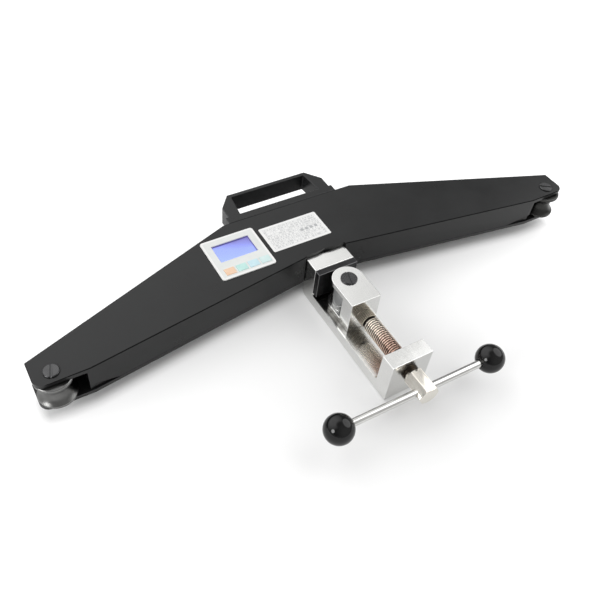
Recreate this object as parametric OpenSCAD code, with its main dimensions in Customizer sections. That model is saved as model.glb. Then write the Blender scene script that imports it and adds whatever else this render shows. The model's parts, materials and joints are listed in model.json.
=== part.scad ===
// Portable three-roller wire rope tension meter.
// A flat housing carries a deflection roller at each end and a screw clamp at the middle
// of its front. The rope runs over the end rollers and is pinched between the clamp roller
// and the jaw pad; a load cell behind the jaw pad weighs the side force on it.
// X runs along the housing, Y from the clamp screw to the handle, Z up.
// Z = 0 is the underside of the clamp frame, Y = 0 the rope face of the jaw pad.

/* [Housing] */
// Distance between the two end roller pins
roller_span = 605.4; // [560:0.2:700]
// Length of the housing past each pin
end_overhang = 18.5; // [17:0.5:26]
// Thickness of the housing with its base cover
housing_h = 38; // [36:0.5:44]
// Height of the housing above the underside of the clamp frame
housing_lift = 18.5; // [16:0.5:20]
// Thickness of the side walls
wall = 5; // [4:0.5:6]
// Thickness of the top plate
top_t = 5; // [4:0.5:6]
// Thickness of the base cover
cover_t = 4; // [3:0.5:5]
// Front edge at the middle of the housing
front_mid_y = 29.1; // [28.5:0.1:31]
// Front edge at the two end lobes
front_end_y = -10.3; // [-11:0.1:-8]
// Back corner of each end
back_end_y = 21; // [19:0.5:30]
// Flat back edge behind the display
back_y = 107.5; // [104:0.5:125]
// Half length of the flat back edge
back_half = 82.3; // [78:0.1:100]
// Radius of the front corner of each end
end_corner_r = 10; // [6:1:14]

/* [Handle] */
// Place of the handle's middle along the housing
handle_x = -6; // [-12:1:6]
// Height of the handle's section
handle_h = 22; // [16:1:26]
// Half width over the handle's arms
handle_half = 65.5; // [60:0.5:72]
// Reach of the handle behind the housing
handle_reach = 43.3; // [38:0.1:60]
// Thickness of the handle's foot
handle_foot_t = 9.6; // [8:0.1:12]
// Thickness of the grip bar
grip_t = 4.6; // [4:0.1:14]
// Width of the handle's arms
handle_arm_w = 15.5; // [12:0.5:20]

/* [Display] */
// Place of the display panel's middle along the housing
panel_x = -88; // [-92:0.5:-87]
// Place of the display panel's middle behind the rope face
panel_y = 61.5; // [60:0.5:62]
// Width of the display panel
panel_w = 62; // [61:0.5:66]
// Depth of the display panel
panel_d = 58.4; // [57:0.1:60]
// Thickness of the display panel
panel_t = 1.2; // [1:0.1:2]
// Width of the visible screen
screen_w = 43.3; // [36:0.1:45]
// Depth of the visible screen
screen_d = 25.3; // [20:0.1:26]
// Width of each key
key_w = 11.4; // [9:0.1:11.8]
// Depth of each key
key_d = 9.2; // [6:0.1:9.6]
// Spacing of the keys
key_pitch = 13.6; // [13.4:0.1:14]
// Press travel of a key, which is how far it stands proud
key_travel = 0.4; // [0.2:0.1:0.5]
// Width of the data label
label_w = 71.6; // [50:0.1:76]
// Depth of the data label
label_d = 38.2; // [25:0.1:44]

/* [End rollers] */
// Radius of the end rollers at their rims
roller_r = 18.3; // [17:0.1:18.5]
// Depth of the rope groove in the end rollers
groove_depth = 5.8; // [4:0.1:6.5]
// Radius of the roller pins
pin_r = 6; // [5:0.5:8]
// Place of the pins in front of or behind the rope face
pin_y = 1.9; // [1:0.1:4]
// Radius of the slotted heads of the end pins
pin_head_r = 7.6; // [7:0.1:9]
// Height of the slotted pin heads
pin_head_h = 1.6; // [1.5:0.1:3]
// Width of the screwdriver slots
slot_w = 1.6; // [1.2:0.1:2]

/* [Clamp] */
// Width of the clamp frame
frame_w = 48; // [46:1:56]
// Height of the frame's jaw and end block
frame_h = 52.4; // [50:0.1:54]
// Thickness of the frame's floor
floor_t = 13.6; // [12:0.1:15]
// Thickness of the jaw along the screw
jaw_t = 20.1; // [18:0.1:22]
// Thickness of the jaw pad
pad_t = 7.4; // [6:0.1:9]
// Thickness of the end block
block_t = 17.3; // [14:0.1:20]
// How far the clamp opens from its rest position
clamp_travel = 48; // [40:1:60]
// Radius of the slider's eye
eye_r = 18; // [17:0.25:19]
// Gap between the slider's eye and the jaw pad at rest
eye_gap = 1.5; // [1.4:0.1:3]
// Length of the slider behind its pin
slider_tail = 33.8; // [32:0.1:38]
// Thickness of the slider's two cheeks
cheek_t = 6; // [5:0.5:7]
// Radius of the clamp roller
clamp_roller_r = 15.5; // [14:0.25:16.5]
// Radius of the slotted head of the slider's pin
slider_head_r = 9; // [7:0.1:10]

/* [Screw] */
// Height of the screw axis
screw_z = 33.5; // [32:0.5:36]
// Radius of the screw thread
screw_r = 9; // [8:0.25:9.5]
// Radius of the plain journal in the slider
journal_r = 6; // [5:0.25:6.5]
// Length of the thrust collar
collar_l = 10; // [8:0.5:11]
// Free neck between the end block and the hexagon
neck_l = 5.2; // [5:0.1:12]
// Length of the hexagon
hex_l = 27; // [24:0.5:36]
// Width of the hexagon across its flats
hex_af = 20; // [18:0.5:24]
// Radius of the tommy bar
bar_r = 4; // [3:0.25:5]
// Length of the tommy bar between the ball centres
bar_l = 181.6; // [150:0.1:220]
// How far the bar has slid towards the left
bar_offset = 6.5; // [0:0.1:20]
// Turn of the screw and its bar at rest, in degrees
bar_tilt = 1.4; // [0:0.1:6]
// Radius of the ball knobs
ball_r = 15; // [12:0.5:16]

/* [Hidden] */
$fn = 64;
eps = 0.01;
run_gap = 0.3;     // between faces that move past each other
turn_gap = 0.05;   // radial gap of a shaft in its bore
seat_gap = 0.05;   // radial gap of a fastener in its hole

pin_x = roller_span / 2;
end_x = pin_x + end_overhang;
lobe_x = pin_x - 31.5;
slot_x = pin_x - 27.7;
slot_back_y = pin_y + roller_r + 2.2;
cover_z = housing_lift;
shell_z = cover_z + cover_t;
top_z = cover_z + housing_h;
ceiling_z = top_z - top_t;
front_angle = atan((front_mid_y - front_end_y) / lobe_x);

jaw_back_y = pad_t + jaw_t;
landing_y = jaw_back_y + 0.2;
landing_half = frame_w / 2 + 0.5;
cell_z = [shell_z + 5.5, ceiling_z - 3.5];
nose_half = 20;
nose_z = [cell_z[0] + 2, cell_z[1] - 2];

eye_y = -eye_gap - eye_r;
tail_y = eye_y - slider_tail;
web_y = eye_y - clamp_roller_r - 1.5;
slider_z = floor_t + run_gap;
slider_top = frame_h + 2.8;
clip_bay = 3.4;

collar_y = tail_y - run_gap - collar_l;
groove_l = 1.5;
thread_y = collar_y - groove_l;
block_y = collar_y - clamp_travel - 5.3;
end_y = block_y - block_t;
hex_y = end_y - neck_l;
bar_y = hex_y - 18;

key_row_y = panel_y - 20;
key_row_x = panel_x + 1.7;
key_cut = [4 * key_pitch + 1, key_d + 3];
screen_y = panel_y + 7.5;
board_z = top_z - 6;
board_t = 1.6;
window_t = 1;
label_pos = [-16.2, 65.5];
label_t = 0.4;

cell_half = 53;
cell_y = [38, 62];
cell_bolt_x = 45;
clamp_bolt_x = 12;
clamp_bolt_z = (nose_z[0] + nose_z[1]) / 2;
pad_screw_z = [25, 46];
boss_places = [[pin_x - 47.7, 12], [150, 24], [75, 93]];
handle_bolt_x = 45;

// Moves each corner of a counter-clockwise outline inwards by w.
function unit(v) = v / norm(v);
function left_of(v) = [-v[1], v[0]];
function inset_corner(a, b, c, w) =
    let (n1 = left_of(unit(b - a)), n2 = left_of(unit(c - b)))
    b + w * (n1 + n2) / (1 + n1 * n2);
function inset(pts, w) =
    let (n = len(pts))
    [for (i = [0:n - 1]) inset_corner(pts[(i + n - 1) % n], pts[i], pts[(i + 1) % n], w)];
function mirrored(pts) = [for (i = [len(pts) - 1:-1:0]) [-pts[i][0], pts[i][1]]];

// Right half of the housing's plan, from the middle of the front round to the back.
housing_half = [
    [lobe_x, front_end_y],
    [end_x, front_end_y],
    [end_x, back_end_y],
    [back_half, back_y]
];
housing_points = concat([[0, front_mid_y]], housing_half, mirrored(housing_half));

// Runs its children along +Y from y, at x and z.
module along_y(x, y, z) {
    translate([x, y, z])
        rotate([-90, 0, 0])
            children();
}

// Runs its children along +X from x, at y and z.
module along_x(x, y, z) {
    translate([x, y, z])
        rotate([0, 90, 0])
            children();
}

module box_from(low, high) {
    translate(low)
        cube(high - low);
}

// The part of a square corner that lies outside a round of radius r.
module round_off(r) {
    difference() {
        translate([-1, -1])
            square(r + 1);
        translate([r, r])
            circle(r);
    }
}

// A head and a shank along +Z; the head lies below z = 0.
module bolt(shank_r, length, head_r, head_h) {
    translate([0, 0, -head_h])
        cylinder(r = head_r, h = head_h);
    translate([0, 0, -eps])
        cylinder(r = shank_r, h = length + eps);
}

module housing_plan() {
    difference() {
        polygon(housing_points);
        for (side = [0, 1])
            mirror([side, 0])
                translate([end_x, front_end_y])
                    mirror([1, 0])
                        round_off(end_corner_r);
        translate([-landing_half, front_end_y - 1])
            square([2 * landing_half, landing_y - front_end_y + 1]);
    }
}

module at_bosses() {
    for (side = [-1, 1])
        for (p = boss_places)
            translate([side * p[0], p[1], 0])
                children();
}

// Shallow wedge cut into the foot of the front wall beside each roller slot.
module slot_wedge() {
    wedge_l = 34;
    wedge_h = 11;
    wedge_depth = 2;
    wall_y = front_mid_y - tan(front_angle) * slot_x;
    translate([slot_x + 1, wall_y + wedge_depth, shell_z - 1])
        rotate([90, 0, -front_angle])
            linear_extrude(12)
                polygon([[-wedge_l, 0], [0, 0], [0, wedge_h]]);
}

module housing() {
    color("#2b2c2d")
    difference() {
        translate([0, 0, shell_z])
            linear_extrude(top_z - shell_z)
                housing_plan();
        difference() {
            translate([0, 0, shell_z - 1])
                linear_extrude(ceiling_z - shell_z + 1)
                    intersection() {
                        polygon(inset(housing_points, wall));
                        translate([wall - slot_x, front_end_y])
                            square([2 * (slot_x - wall), back_y - front_end_y]);
                    }
            at_bosses()
                translate([0, 0, shell_z - 2])
                    cylinder(r = 5, h = ceiling_z - shell_z + 3);
            for (side = [-1, 1])
                translate([side * cell_bolt_x, (cell_y[0] + cell_y[1]) / 2, cell_z[1]])
                    cylinder(r = 7.5, h = ceiling_z - cell_z[1] + 1);
        }
        for (side = [0, 1])
            mirror([side, 0, 0]) {
                box_from([slot_x, front_end_y - 5, shell_z - 1], [end_x + 1, slot_back_y, ceiling_z]);
                slot_wedge();
                translate([pin_x, pin_y, ceiling_z - 1])
                    cylinder(r = pin_r + seat_gap, h = top_t + 2);
                translate([cell_bolt_x, (cell_y[0] + cell_y[1]) / 2, cell_z[1] - 1])
                    cylinder(r = 3 + seat_gap, h = top_z - 3 - cell_z[1] + 1);
            }
        at_bosses()
            translate([0, 0, shell_z - 1])
                cylinder(r = 2 + seat_gap, h = 15);
        for (side = [-1, 1])
            along_y(handle_x + side * handle_bolt_x, back_y - wall - 1, top_z - handle_h / 2)
                cylinder(r = 3 + seat_gap, h = wall + 2);
        box_from([-nose_half - 0.5, landing_y - 1, nose_z[0] - 0.5],
                 [nose_half + 0.5, front_mid_y + wall + 2, nose_z[1] + 0.5]);
        translate([panel_x, screen_y, 0])
            plate(screen_w + 4, screen_d + 3, ceiling_z - 1, top_z + 1);
        translate([key_row_x, key_row_y, 0])
            plate(key_cut[0], key_cut[1], ceiling_z - 1, top_z + 1);
    }
}

module base_cover() {
    color("#343536")
    difference() {
        translate([0, 0, cover_z])
            linear_extrude(cover_t)
                housing_plan();
        for (side = [-1, 1])
            translate([side * pin_x, pin_y, cover_z - 1])
                cylinder(r = pin_r + seat_gap, h = cover_t + 2);
        at_bosses()
            translate([0, 0, cover_z - 1])
                cylinder(r = 2 + seat_gap, h = cover_t + 2);
    }
}

module base_cover_screws() {
    color("#5a5c5e")
    at_bosses()
        translate([0, 0, cover_z])
            difference() {
                bolt(2, cover_t + 12, 3.8, 2.2);
                translate([0, 0, -2.2 - eps])
                    cylinder(r = 1.5, h = 1.4, $fn = 6);
            }
}

// Closed loop on a foot that is a little wider than its arms, with cut back corners.
module handle() {
    foot_half = handle_half + 3.5;
    foot_y = back_y + handle_foot_t;
    grip_y = back_y + handle_reach;
    corner = [14.5, 17.8];
    hole_half = handle_half - handle_arm_w;
    color("#222324")
    difference() {
        translate([handle_x, 0, top_z - handle_h])
            linear_extrude(handle_h)
                difference() {
                    union() {
                        translate([-foot_half, back_y])
                            square([2 * foot_half, handle_foot_t]);
                        polygon([
                            [-handle_half, back_y + 1],
                            [handle_half, back_y + 1],
                            [handle_half, grip_y - corner[1]],
                            [handle_half - corner[0], grip_y],
                            [-handle_half + corner[0], grip_y],
                            [-handle_half, grip_y - corner[1]]
                        ]);
                    }
                    polygon([
                        [-hole_half - 0.9, foot_y],
                        [hole_half + 0.9, foot_y],
                        [hole_half - 2.2, grip_y - grip_t],
                        [-hole_half + 2.2, grip_y - grip_t]
                    ]);
                }
        for (side = [-1, 1])
            along_y(handle_x + side * handle_bolt_x, back_y - 1, top_z - handle_h / 2)
                cylinder(r = 3 + seat_gap, h = handle_foot_t - 0.6);
    }
}

module handle_bolts() {
    color("#6b6d70")
    for (side = [-1, 1])
        along_y(handle_x + side * handle_bolt_x, back_y - wall, top_z - handle_h / 2)
            bolt(3, wall + handle_foot_t - 2.2, 5, 5);
}

module key_at(i) {
    translate([key_row_x + (i - 1.5) * key_pitch, key_row_y, 0])
        children();
}

module plate(w, d, z0, z1) {
    translate([-w / 2, -d / 2, z0])
        cube([w, d, z1 - z0]);
}

// A flat plate with round corners, centred on the Z axis.
module round_plate(w, d, r, z0, z1) {
    translate([-w / 2, -d / 2, z0])
        linear_extrude(z1 - z0)
            difference() {
                square([w, d]);
                for (mx = [0, 1], my = [0, 1])
                    translate([mx * w, my * d])
                        mirror([mx, 0])
                            mirror([0, my])
                                round_off(r);
            }
}

module display_panel() {
    color("#e9e9e4")
    difference() {
        translate([panel_x, panel_y, 0])
            round_plate(panel_w, panel_d, 3, top_z, top_z + panel_t);
        translate([panel_x, screen_y, 0])
            plate(screen_w, screen_d, top_z - 1, top_z + panel_t + 1);
        for (i = [0:3])
            key_at(i)
                plate(key_w + 2 * run_gap, key_d + 2 * run_gap, top_z - 1, top_z + panel_t + 1);
    }
}

module display_window() {
    color("#8fa3d8", 0.6)
    translate([panel_x, screen_y, 0])
        plate(screen_w + 3, screen_d + 2, top_z - window_t, top_z);
}

module lcd_module() {
    color("#4a54b8")
    translate([panel_x, screen_y, 0])
        plate(screen_w + 3, screen_d + 2, board_z, top_z - window_t);
}

module at_pillars() {
    for (sx = [-1, 1], sy = [-1, 1])
        translate([panel_x + sx * (screen_w / 2 + 6), screen_y - 1 + sy * 13, 0])
            children();
}

module circuit_board() {
    color("#1f5c3a")
    difference() {
        translate([panel_x, panel_y - 1, 0])
            plate(panel_w + 1, panel_d - 8, board_z - board_t, board_z);
        at_pillars()
            translate([0, 0, board_z - board_t - 1])
                cylinder(r = 1.25 + seat_gap, h = board_t + 2);
    }
}

// Spacers under the top plate with the screws that hold the board to them.
module board_pillars() {
    color("#b9a15a")
    at_pillars() {
        translate([0, 0, board_z])
            cylinder(r = 2.5, h = ceiling_z - board_z);
        translate([0, 0, board_z - board_t])
            bolt(1.25, board_t + eps, 2.5, 1.8);
    }
}

// A key cap with a flange that keeps it under the panel.
module key_cap(i, shade) {
    flange_top = top_z - run_gap;
    color(shade)
    key_at(i) {
        plate(key_w, key_d, flange_top - 1, top_z + panel_t + key_travel);
        plate(key_w + 1.4, key_d + 1.4, flange_top - 1.2, flange_top);
    }
}

module key_1() {
    key_cap(0, "#e58a3c");
}

module key_2() {
    key_cap(1, "#3f9a94");
}

module key_3() {
    key_cap(2, "#8fd0dc");
}

module key_4() {
    key_cap(3, "#b9c6d6");
}

module data_label() {
    color("#f1f1ee")
    translate([label_pos[0], label_pos[1], 0])
        round_plate(label_w, label_d, 1.5, top_z, top_z + label_t);
}

// Two round cells in a moulded holder that hangs under the top plate.
module battery_pack() {
    cell_r = 8.5;
    pack = [76, 36, 22];
    low = [96, 29, ceiling_z - pack[2]];
    color("#3b5a8c")
    translate(low)
        cube(pack);
    color("#4d7a5a")
    for (y = [0.25, 0.75])
        along_x(low[0] + 3, low[1] + y * pack[1], low[2] + 4)
            cylinder(r = cell_r, h = pack[0] - 6);
}

// Double-bore bending beam with a nose that reaches through the front wall to the jaw.
module load_cell() {
    mid_y = (cell_y[0] + cell_y[1]) / 2;
    color("#b8babb")
    difference() {
        union() {
            box_from([-cell_half, cell_y[0], cell_z[0]], [cell_half, cell_y[1], cell_z[1]]);
            box_from([-nose_half, jaw_back_y, nose_z[0]], [nose_half, cell_y[0] + 1, nose_z[1]]);
        }
        for (side = [-1, 1]) {
            for (x = [25, 33])
                translate([side * x, mid_y, cell_z[0] - 1])
                    cylinder(r = 5.5, h = cell_z[1] - cell_z[0] + 2);
            translate([side * cell_bolt_x, mid_y, cell_z[0] - 1])
                cylinder(r = 3 + seat_gap, h = cell_z[1] - cell_z[0] + 2);
            along_y(side * clamp_bolt_x, jaw_back_y - 1, clamp_bolt_z)
                cylinder(r = 4 + seat_gap, h = cell_y[1] - jaw_back_y + 2);
        }
    }
}

module load_cell_bolts() {
    color("#57595b")
    for (side = [-1, 1])
        translate([side * cell_bolt_x, (cell_y[0] + cell_y[1]) / 2, cell_z[0]])
            bolt(3, top_z - 4 - cell_z[0], 5, 4.5);
}

// Side view of the clamp frame: floor, jaw and end block in one piece.
module frame_profile() {
    inner_r = 4;
    back_r = 8;
    bay = [pad_t - block_y, frame_h];
    difference() {
        translate([end_y, 0])
            square([jaw_back_y - end_y, frame_h]);
        translate([block_y, floor_t])
            difference() {
                square(bay);
                round_off(inner_r);
                translate([bay[0], 0])
                    mirror([1, 0])
                        round_off(inner_r);
            }
        translate([jaw_back_y, 0])
            mirror([1, 0])
                round_off(back_r);
    }
}

module clamp_frame() {
    color("#c9cac9")
    difference() {
        translate([-frame_w / 2, 0, 0])
            rotate([90, 0, 90])
                linear_extrude(frame_w)
                    frame_profile();
        along_y(0, end_y - 1, screw_z)
            cylinder(r = screw_r + turn_gap, h = block_t + 2);
        for (side = [-1, 1])
            along_y(side * clamp_bolt_x, jaw_back_y - 14, clamp_bolt_z)
                cylinder(r = 4 + seat_gap, h = 15);
        for (z = pad_screw_z)
            along_y(0, pad_t - 1, z)
                cylinder(r = 2 + seat_gap, h = 11);
    }
}

module clamp_bolts() {
    length = cell_y[1] - jaw_back_y + 13;
    color("#4c4e50")
    for (side = [-1, 1])
        translate([side * clamp_bolt_x, cell_y[1], clamp_bolt_z])
            rotate([90, 0, 0])
                bolt(4, length, 6.5, 7);
}

module jaw_pad() {
    color("#2e2f31")
    difference() {
        box_from([-frame_w / 2, 0, floor_t + 4.4], [frame_w / 2, pad_t, frame_h - 0.3]);
        for (z = pad_screw_z) {
            along_y(0, -1, z)
                cylinder(r = 2 + seat_gap, h = pad_t + 2);
            along_y(0, -1, z)
                cylinder(r = 4 + seat_gap, h = 5);
        }
    }
}

module jaw_pad_screws() {
    color("#8b8d8f")
    for (z = pad_screw_z)
        along_y(0, 4, z)
            difference() {
                bolt(2, pad_t + 5, 4, 3.4);
                translate([0, 0, -3.4 - eps])
                    cylinder(r = 1.7, h = 2, $fn = 6);
            }
}

// Pin with a slotted round head on top and a groove for its clip at the foot.
module headed_pin(r, head_r, z_foot, z_seat, groove_z, slot_turn) {
    difference() {
        union() {
            translate([0, 0, z_foot])
                cylinder(r = r, h = z_seat - z_foot + eps);
            translate([0, 0, z_seat])
                cylinder(r = head_r, h = pin_head_h - 0.6);
            translate([0, 0, z_seat + pin_head_h - 0.6])
                cylinder(r1 = head_r, r2 = head_r - 0.6, h = 0.6);
        }
        translate([0, 0, z_seat + pin_head_h - 1])
            rotate([0, 0, slot_turn])
                translate([-head_r - 1, -slot_w / 2, 0])
                    cube([2 * head_r + 2, slot_w, 2]);
        translate([0, 0, groove_z])
            difference() {
                cylinder(r = r + 1, h = 1.2);
                translate([0, 0, -1])
                    cylinder(r = r - 1, h = 4);
            }
    }
}

module roller_pin(side, slot_turn) {
    color("#4a4c4f")
    translate([side * pin_x, pin_y, 0])
        headed_pin(pin_r, pin_head_r, cover_z - 2.6, top_z, cover_z - 1.2, slot_turn);
}

module left_roller_pin() {
    roller_pin(-1, 73);
}

module right_roller_pin() {
    roller_pin(1, -35);
}

// Open retaining rings in the grooves of the two end pins.
module pin_clips() {
    color("#6d6f71")
    for (side = [-1, 1])
        translate([side * pin_x, pin_y, cover_z - 1.2])
            difference() {
                cylinder(r = pin_r + 3, h = 1.2);
                translate([0, 0, -1])
                    cylinder(r = pin_r - 1 + 0.02, h = 4);
                translate([-2, -pin_r - 4, -1])
                    cube([4, pin_r + 4, 4]);
            }
}

// Plain roller body with broken edges.
module roller_ring(r, bore_r, z0, z1) {
    edge = 1;
    translate([0, 0, z0])
        rotate_extrude()
            polygon([
                [bore_r, 0], [r - edge, 0], [r, edge],
                [r, z1 - z0 - edge], [r - edge, z1 - z0], [bore_r, z1 - z0]
            ]);
}

module plain_bush(bore_r, outer_r, z0, z1) {
    translate([0, 0, z0])
        difference() {
            cylinder(r = outer_r, h = z1 - z0);
            translate([0, 0, -1])
                cylinder(r = bore_r, h = z1 - z0 + 2);
        }
}

module flanged_bush(bore_r, outer_r, flange_r, z0, z1, z2) {
    rotate_extrude()
        polygon([
            [bore_r, z0], [outer_r, z0], [outer_r, z1],
            [flange_r, z1], [flange_r, z2], [bore_r, z2]
        ]);
}

// End roller with a round rope groove between its two rims.
module end_roller(side) {
    z0 = shell_z + run_gap;
    h = ceiling_z - run_gap - z0;
    rim = 3;
    edge = 0.8;
    bore_r = pin_r + 2.02;
    half = h / 2 - rim;
    groove_r = (half * half + groove_depth * groove_depth) / (2 * groove_depth);
    color("#b4b2ae")
    translate([side * pin_x, pin_y, z0])
        rotate_extrude()
            difference() {
                polygon([
                    [bore_r, 0], [roller_r - edge, 0], [roller_r, edge],
                    [roller_r, h - edge], [roller_r - edge, h], [bore_r, h]
                ]);
                translate([roller_r - groove_depth + groove_r, h / 2])
                    circle(groove_r);
            }
}

module end_bush(side) {
    color("#b48a4a")
    translate([side * pin_x, pin_y, 0])
        plain_bush(pin_r + turn_gap, pin_r + 2, shell_z + run_gap, ceiling_z - run_gap);
}

module left_roller() {
    end_roller(-1);
}

module left_bush() {
    end_bush(-1);
}

module right_roller() {
    end_roller(1);
}

module right_bush() {
    end_bush(1);
}

module slider_plan() {
    tail_half = eye_r - 0.2;
    translate([0, eye_y])
        circle(eye_r);
    translate([-tail_half, tail_y])
        square([2 * tail_half, eye_y - tail_y]);
}

// Clevis with two cheeks round the roller and a solid tail for the screw's journal.
module slider_block() {
    pin_bore = pin_r - 1 + seat_gap;
    color("#d2d2cf")
    difference() {
        translate([0, 0, slider_z])
            linear_extrude(slider_top - slider_z)
                slider_plan();
        box_from([-eye_r - 1, web_y, slider_z + cheek_t],
                 [eye_r + 1, 0, slider_top - cheek_t]);
        translate([0, eye_y, slider_z - 1])
            cylinder(r = pin_bore, h = slider_top - slider_z + 2);
        along_y(0, tail_y - 1, screw_z)
            cylinder(r = journal_r + turn_gap, h = web_y - tail_y + 2);
        along_y(0, web_y - clip_bay, screw_z)
            cylinder(r = journal_r + 3.2, h = clip_bay + 1);
    }
}

module slider_pin() {
    color("#4a4c4f")
    translate([0, eye_y, 0])
        headed_pin(pin_r - 1, slider_head_r, slider_z + 0.6, slider_top, slider_z + 1.2, 74);
}

module clamp_roller() {
    color("#b4b2ae")
    translate([0, eye_y, 0])
        roller_ring(clamp_roller_r, pin_r + 1.02, slider_z + cheek_t + run_gap,
                    slider_top - cheek_t - 1.8);
}

module clamp_bush() {
    color("#b48a4a")
    translate([0, eye_y, 0])
        flanged_bush(pin_r - 1 + turn_gap, pin_r + 1, pin_r + 4, slider_z + cheek_t + run_gap,
                     slider_top - cheek_t - 1.8, slider_top - cheek_t - run_gap);
}

// Turns its children with the screw about the screw's axis.
module on_screw() {
    translate([0, 0, screw_z])
        rotate([0, bar_tilt, 0])
            children();
}

// Hexagon with its corners turned off at both ends.
module hexagon_head(af, l) {
    corner_r = af / 2 / cos(30);
    flat_r = af / 2 - 0.2;
    edge = (corner_r - flat_r) * 0.58;
    intersection() {
        cylinder(r = corner_r, h = l, $fn = 6);
        rotate_extrude()
            polygon([
                [0, 0], [flat_r, 0], [corner_r, edge],
                [corner_r, l - edge], [flat_r, l], [0, l]
            ]);
    }
}

// Journal, groove, thread and hexagon of the clamp screw, turned from one bar.
module clamp_screw() {
    tip_y = web_y - 0.6;
    clip_y = web_y - clip_bay + run_gap;
    collar_end = thread_y + groove_l;
    color("#b9a68c")
    on_screw()
        difference() {
            union() {
                along_y(0, collar_end, 0)
                    cylinder(r = journal_r, h = tip_y - collar_end);
                along_y(0, thread_y - eps, 0)
                    cylinder(r = screw_r - 2, h = groove_l + eps);
                along_y(0, hex_y - eps, 0)
                    cylinder(r = screw_r, h = thread_y - hex_y + eps);
                along_y(0, hex_y - hex_l, 0)
                    hexagon_head(hex_af, hex_l);
            }
            along_x(-hex_af, bar_y, 0)
                cylinder(r = bar_r + turn_gap, h = 2 * hex_af);
            along_y(0, clip_y, 0)
                difference() {
                    cylinder(r = journal_r + 1, h = 1.2);
                    translate([0, 0, -1])
                        cylinder(r = journal_r - 1, h = 4);
                }
        }
}

module thrust_collar() {
    color("#a89878")
    on_screw()
        along_y(0, collar_y, 0)
            difference() {
                cylinder(r = screw_r, h = collar_l);
                translate([0, 0, -1])
                    cylinder(r = journal_r + 0.01, h = collar_l + 2);
            }
}

module screw_clip() {
    color("#6d6f71")
    on_screw()
        along_y(0, web_y - clip_bay + run_gap, 0)
            difference() {
                cylinder(r = journal_r + 2.5, h = 1.2);
                translate([0, 0, -1])
                    cylinder(r = journal_r - 1 + 0.02, h = 4);
                translate([-2, -journal_r - 4, -1])
                    cube([4, journal_r + 4, 4]);
            }
}

function ball_x(side) = -bar_offset + side * bar_l / 2;

module tommy_bar() {
    color("#d6d7d8")
    on_screw()
        along_x(ball_x(-1), bar_y, 0)
            cylinder(r = bar_r, h = bar_l);
}

// A ball turned about the bar's axis, with a blind bore on the side of the screw.
module ball_knob(side) {
    bore_l = ball_r + 1;
    color("#1b1b1c")
    on_screw()
        along_x(ball_x(side), bar_y, 0)
            rotate_extrude()
                difference() {
                    circle(ball_r);
                    translate([-ball_r - 1, -ball_r - 1])
                        square([ball_r + 1, 2 * ball_r + 2]);
                    translate([-1, side < 0 ? -0.5 : 0.5 - bore_l])
                        square([1 + bar_r + seat_gap, bore_l]);
                }
}

module left_ball_knob() {
    ball_knob(-1);
}

module right_ball_knob() {
    ball_knob(1);
}

housing();
base_cover();
base_cover_screws();
handle();
handle_bolts();
display_panel();
display_window();
lcd_module();
circuit_board();
board_pillars();
key_1();
key_2();
key_3();
key_4();
data_label();
battery_pack();
load_cell();
load_cell_bolts();
clamp_frame();
clamp_bolts();
jaw_pad();
jaw_pad_screws();
left_roller_pin();
right_roller_pin();
pin_clips();
left_roller();
left_bush();
right_roller();
right_bush();
slider_block();
slider_pin();
clamp_roller();
clamp_bush();
clamp_screw();
thrust_collar();
screw_clip();
tommy_bar();
left_ball_knob();
right_ball_knob();
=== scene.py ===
# %% [markdown]
# # A wire rope tension meter
# The tool is a flat black housing with a roller at each end, a carrying handle, a small
# display and a screw clamp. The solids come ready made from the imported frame. This lesson
# gives them edges, thread, knurl, print and finishes, and lights them as in a product photo.

# %% Load the frame
import bpy
import bmesh
import json
import math
from mathutils import Matrix, Vector


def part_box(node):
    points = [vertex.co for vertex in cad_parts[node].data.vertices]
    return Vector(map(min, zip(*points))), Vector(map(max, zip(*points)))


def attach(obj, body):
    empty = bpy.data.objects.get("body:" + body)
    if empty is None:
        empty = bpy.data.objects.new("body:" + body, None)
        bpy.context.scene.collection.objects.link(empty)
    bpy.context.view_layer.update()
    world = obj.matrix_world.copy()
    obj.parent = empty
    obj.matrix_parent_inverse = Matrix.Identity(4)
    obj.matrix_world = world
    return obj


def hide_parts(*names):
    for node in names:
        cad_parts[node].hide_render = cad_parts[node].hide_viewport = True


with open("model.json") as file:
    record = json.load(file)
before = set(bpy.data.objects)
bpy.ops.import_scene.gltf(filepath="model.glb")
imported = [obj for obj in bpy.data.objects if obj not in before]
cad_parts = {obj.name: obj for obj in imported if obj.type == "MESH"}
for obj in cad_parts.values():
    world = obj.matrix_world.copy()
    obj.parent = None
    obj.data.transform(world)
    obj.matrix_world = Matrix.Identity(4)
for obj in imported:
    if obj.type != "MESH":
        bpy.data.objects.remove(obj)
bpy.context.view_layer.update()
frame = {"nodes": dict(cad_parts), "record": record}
nodes = frame["nodes"]
scene = bpy.context.scene
scene.view_settings.view_transform = "Standard"
MM = 0.001

# %% [markdown]
# ## The camera
# The photograph was solved for its camera from the symmetric housing: the place of the lens,
# the three directions of the picture, and a focal length of 687 pixels in a 600 pixel frame.
# A 36 mm sensor turns that into a lens in millimetres.

# %% Camera at the photograph's view
picture_right = Vector((0.86039, -0.50287, 0.08281))
picture_down = Vector((-0.33183, -0.67608, -0.65788))
picture_depth = Vector((0.38681, 0.53855, -0.74856))
lens_place = Vector((-327.54, -393.58, 571.22)) * MM

SENSOR_WIDTH = 36
FOCAL_PIXELS = 687.13
PICTURE_PIXELS = 600

camera_data = bpy.data.cameras.new("photo_view")
camera_data.sensor_width = SENSOR_WIDTH
camera_data.lens = SENSOR_WIDTH * FOCAL_PIXELS / PICTURE_PIXELS
camera_data.clip_start = 0.02
camera_data.clip_end = 30
camera = bpy.data.objects.new("photo_view", camera_data)
scene.collection.objects.link(camera)
turn = Matrix((picture_right, -picture_down, -picture_depth)).transposed()
camera.matrix_world = Matrix.Translation(lens_place) @ turn.to_4x4()
scene.camera = camera
print("lens", round(camera_data.lens, 2), "mm at", [round(c, 3) for c in lens_place])

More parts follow.
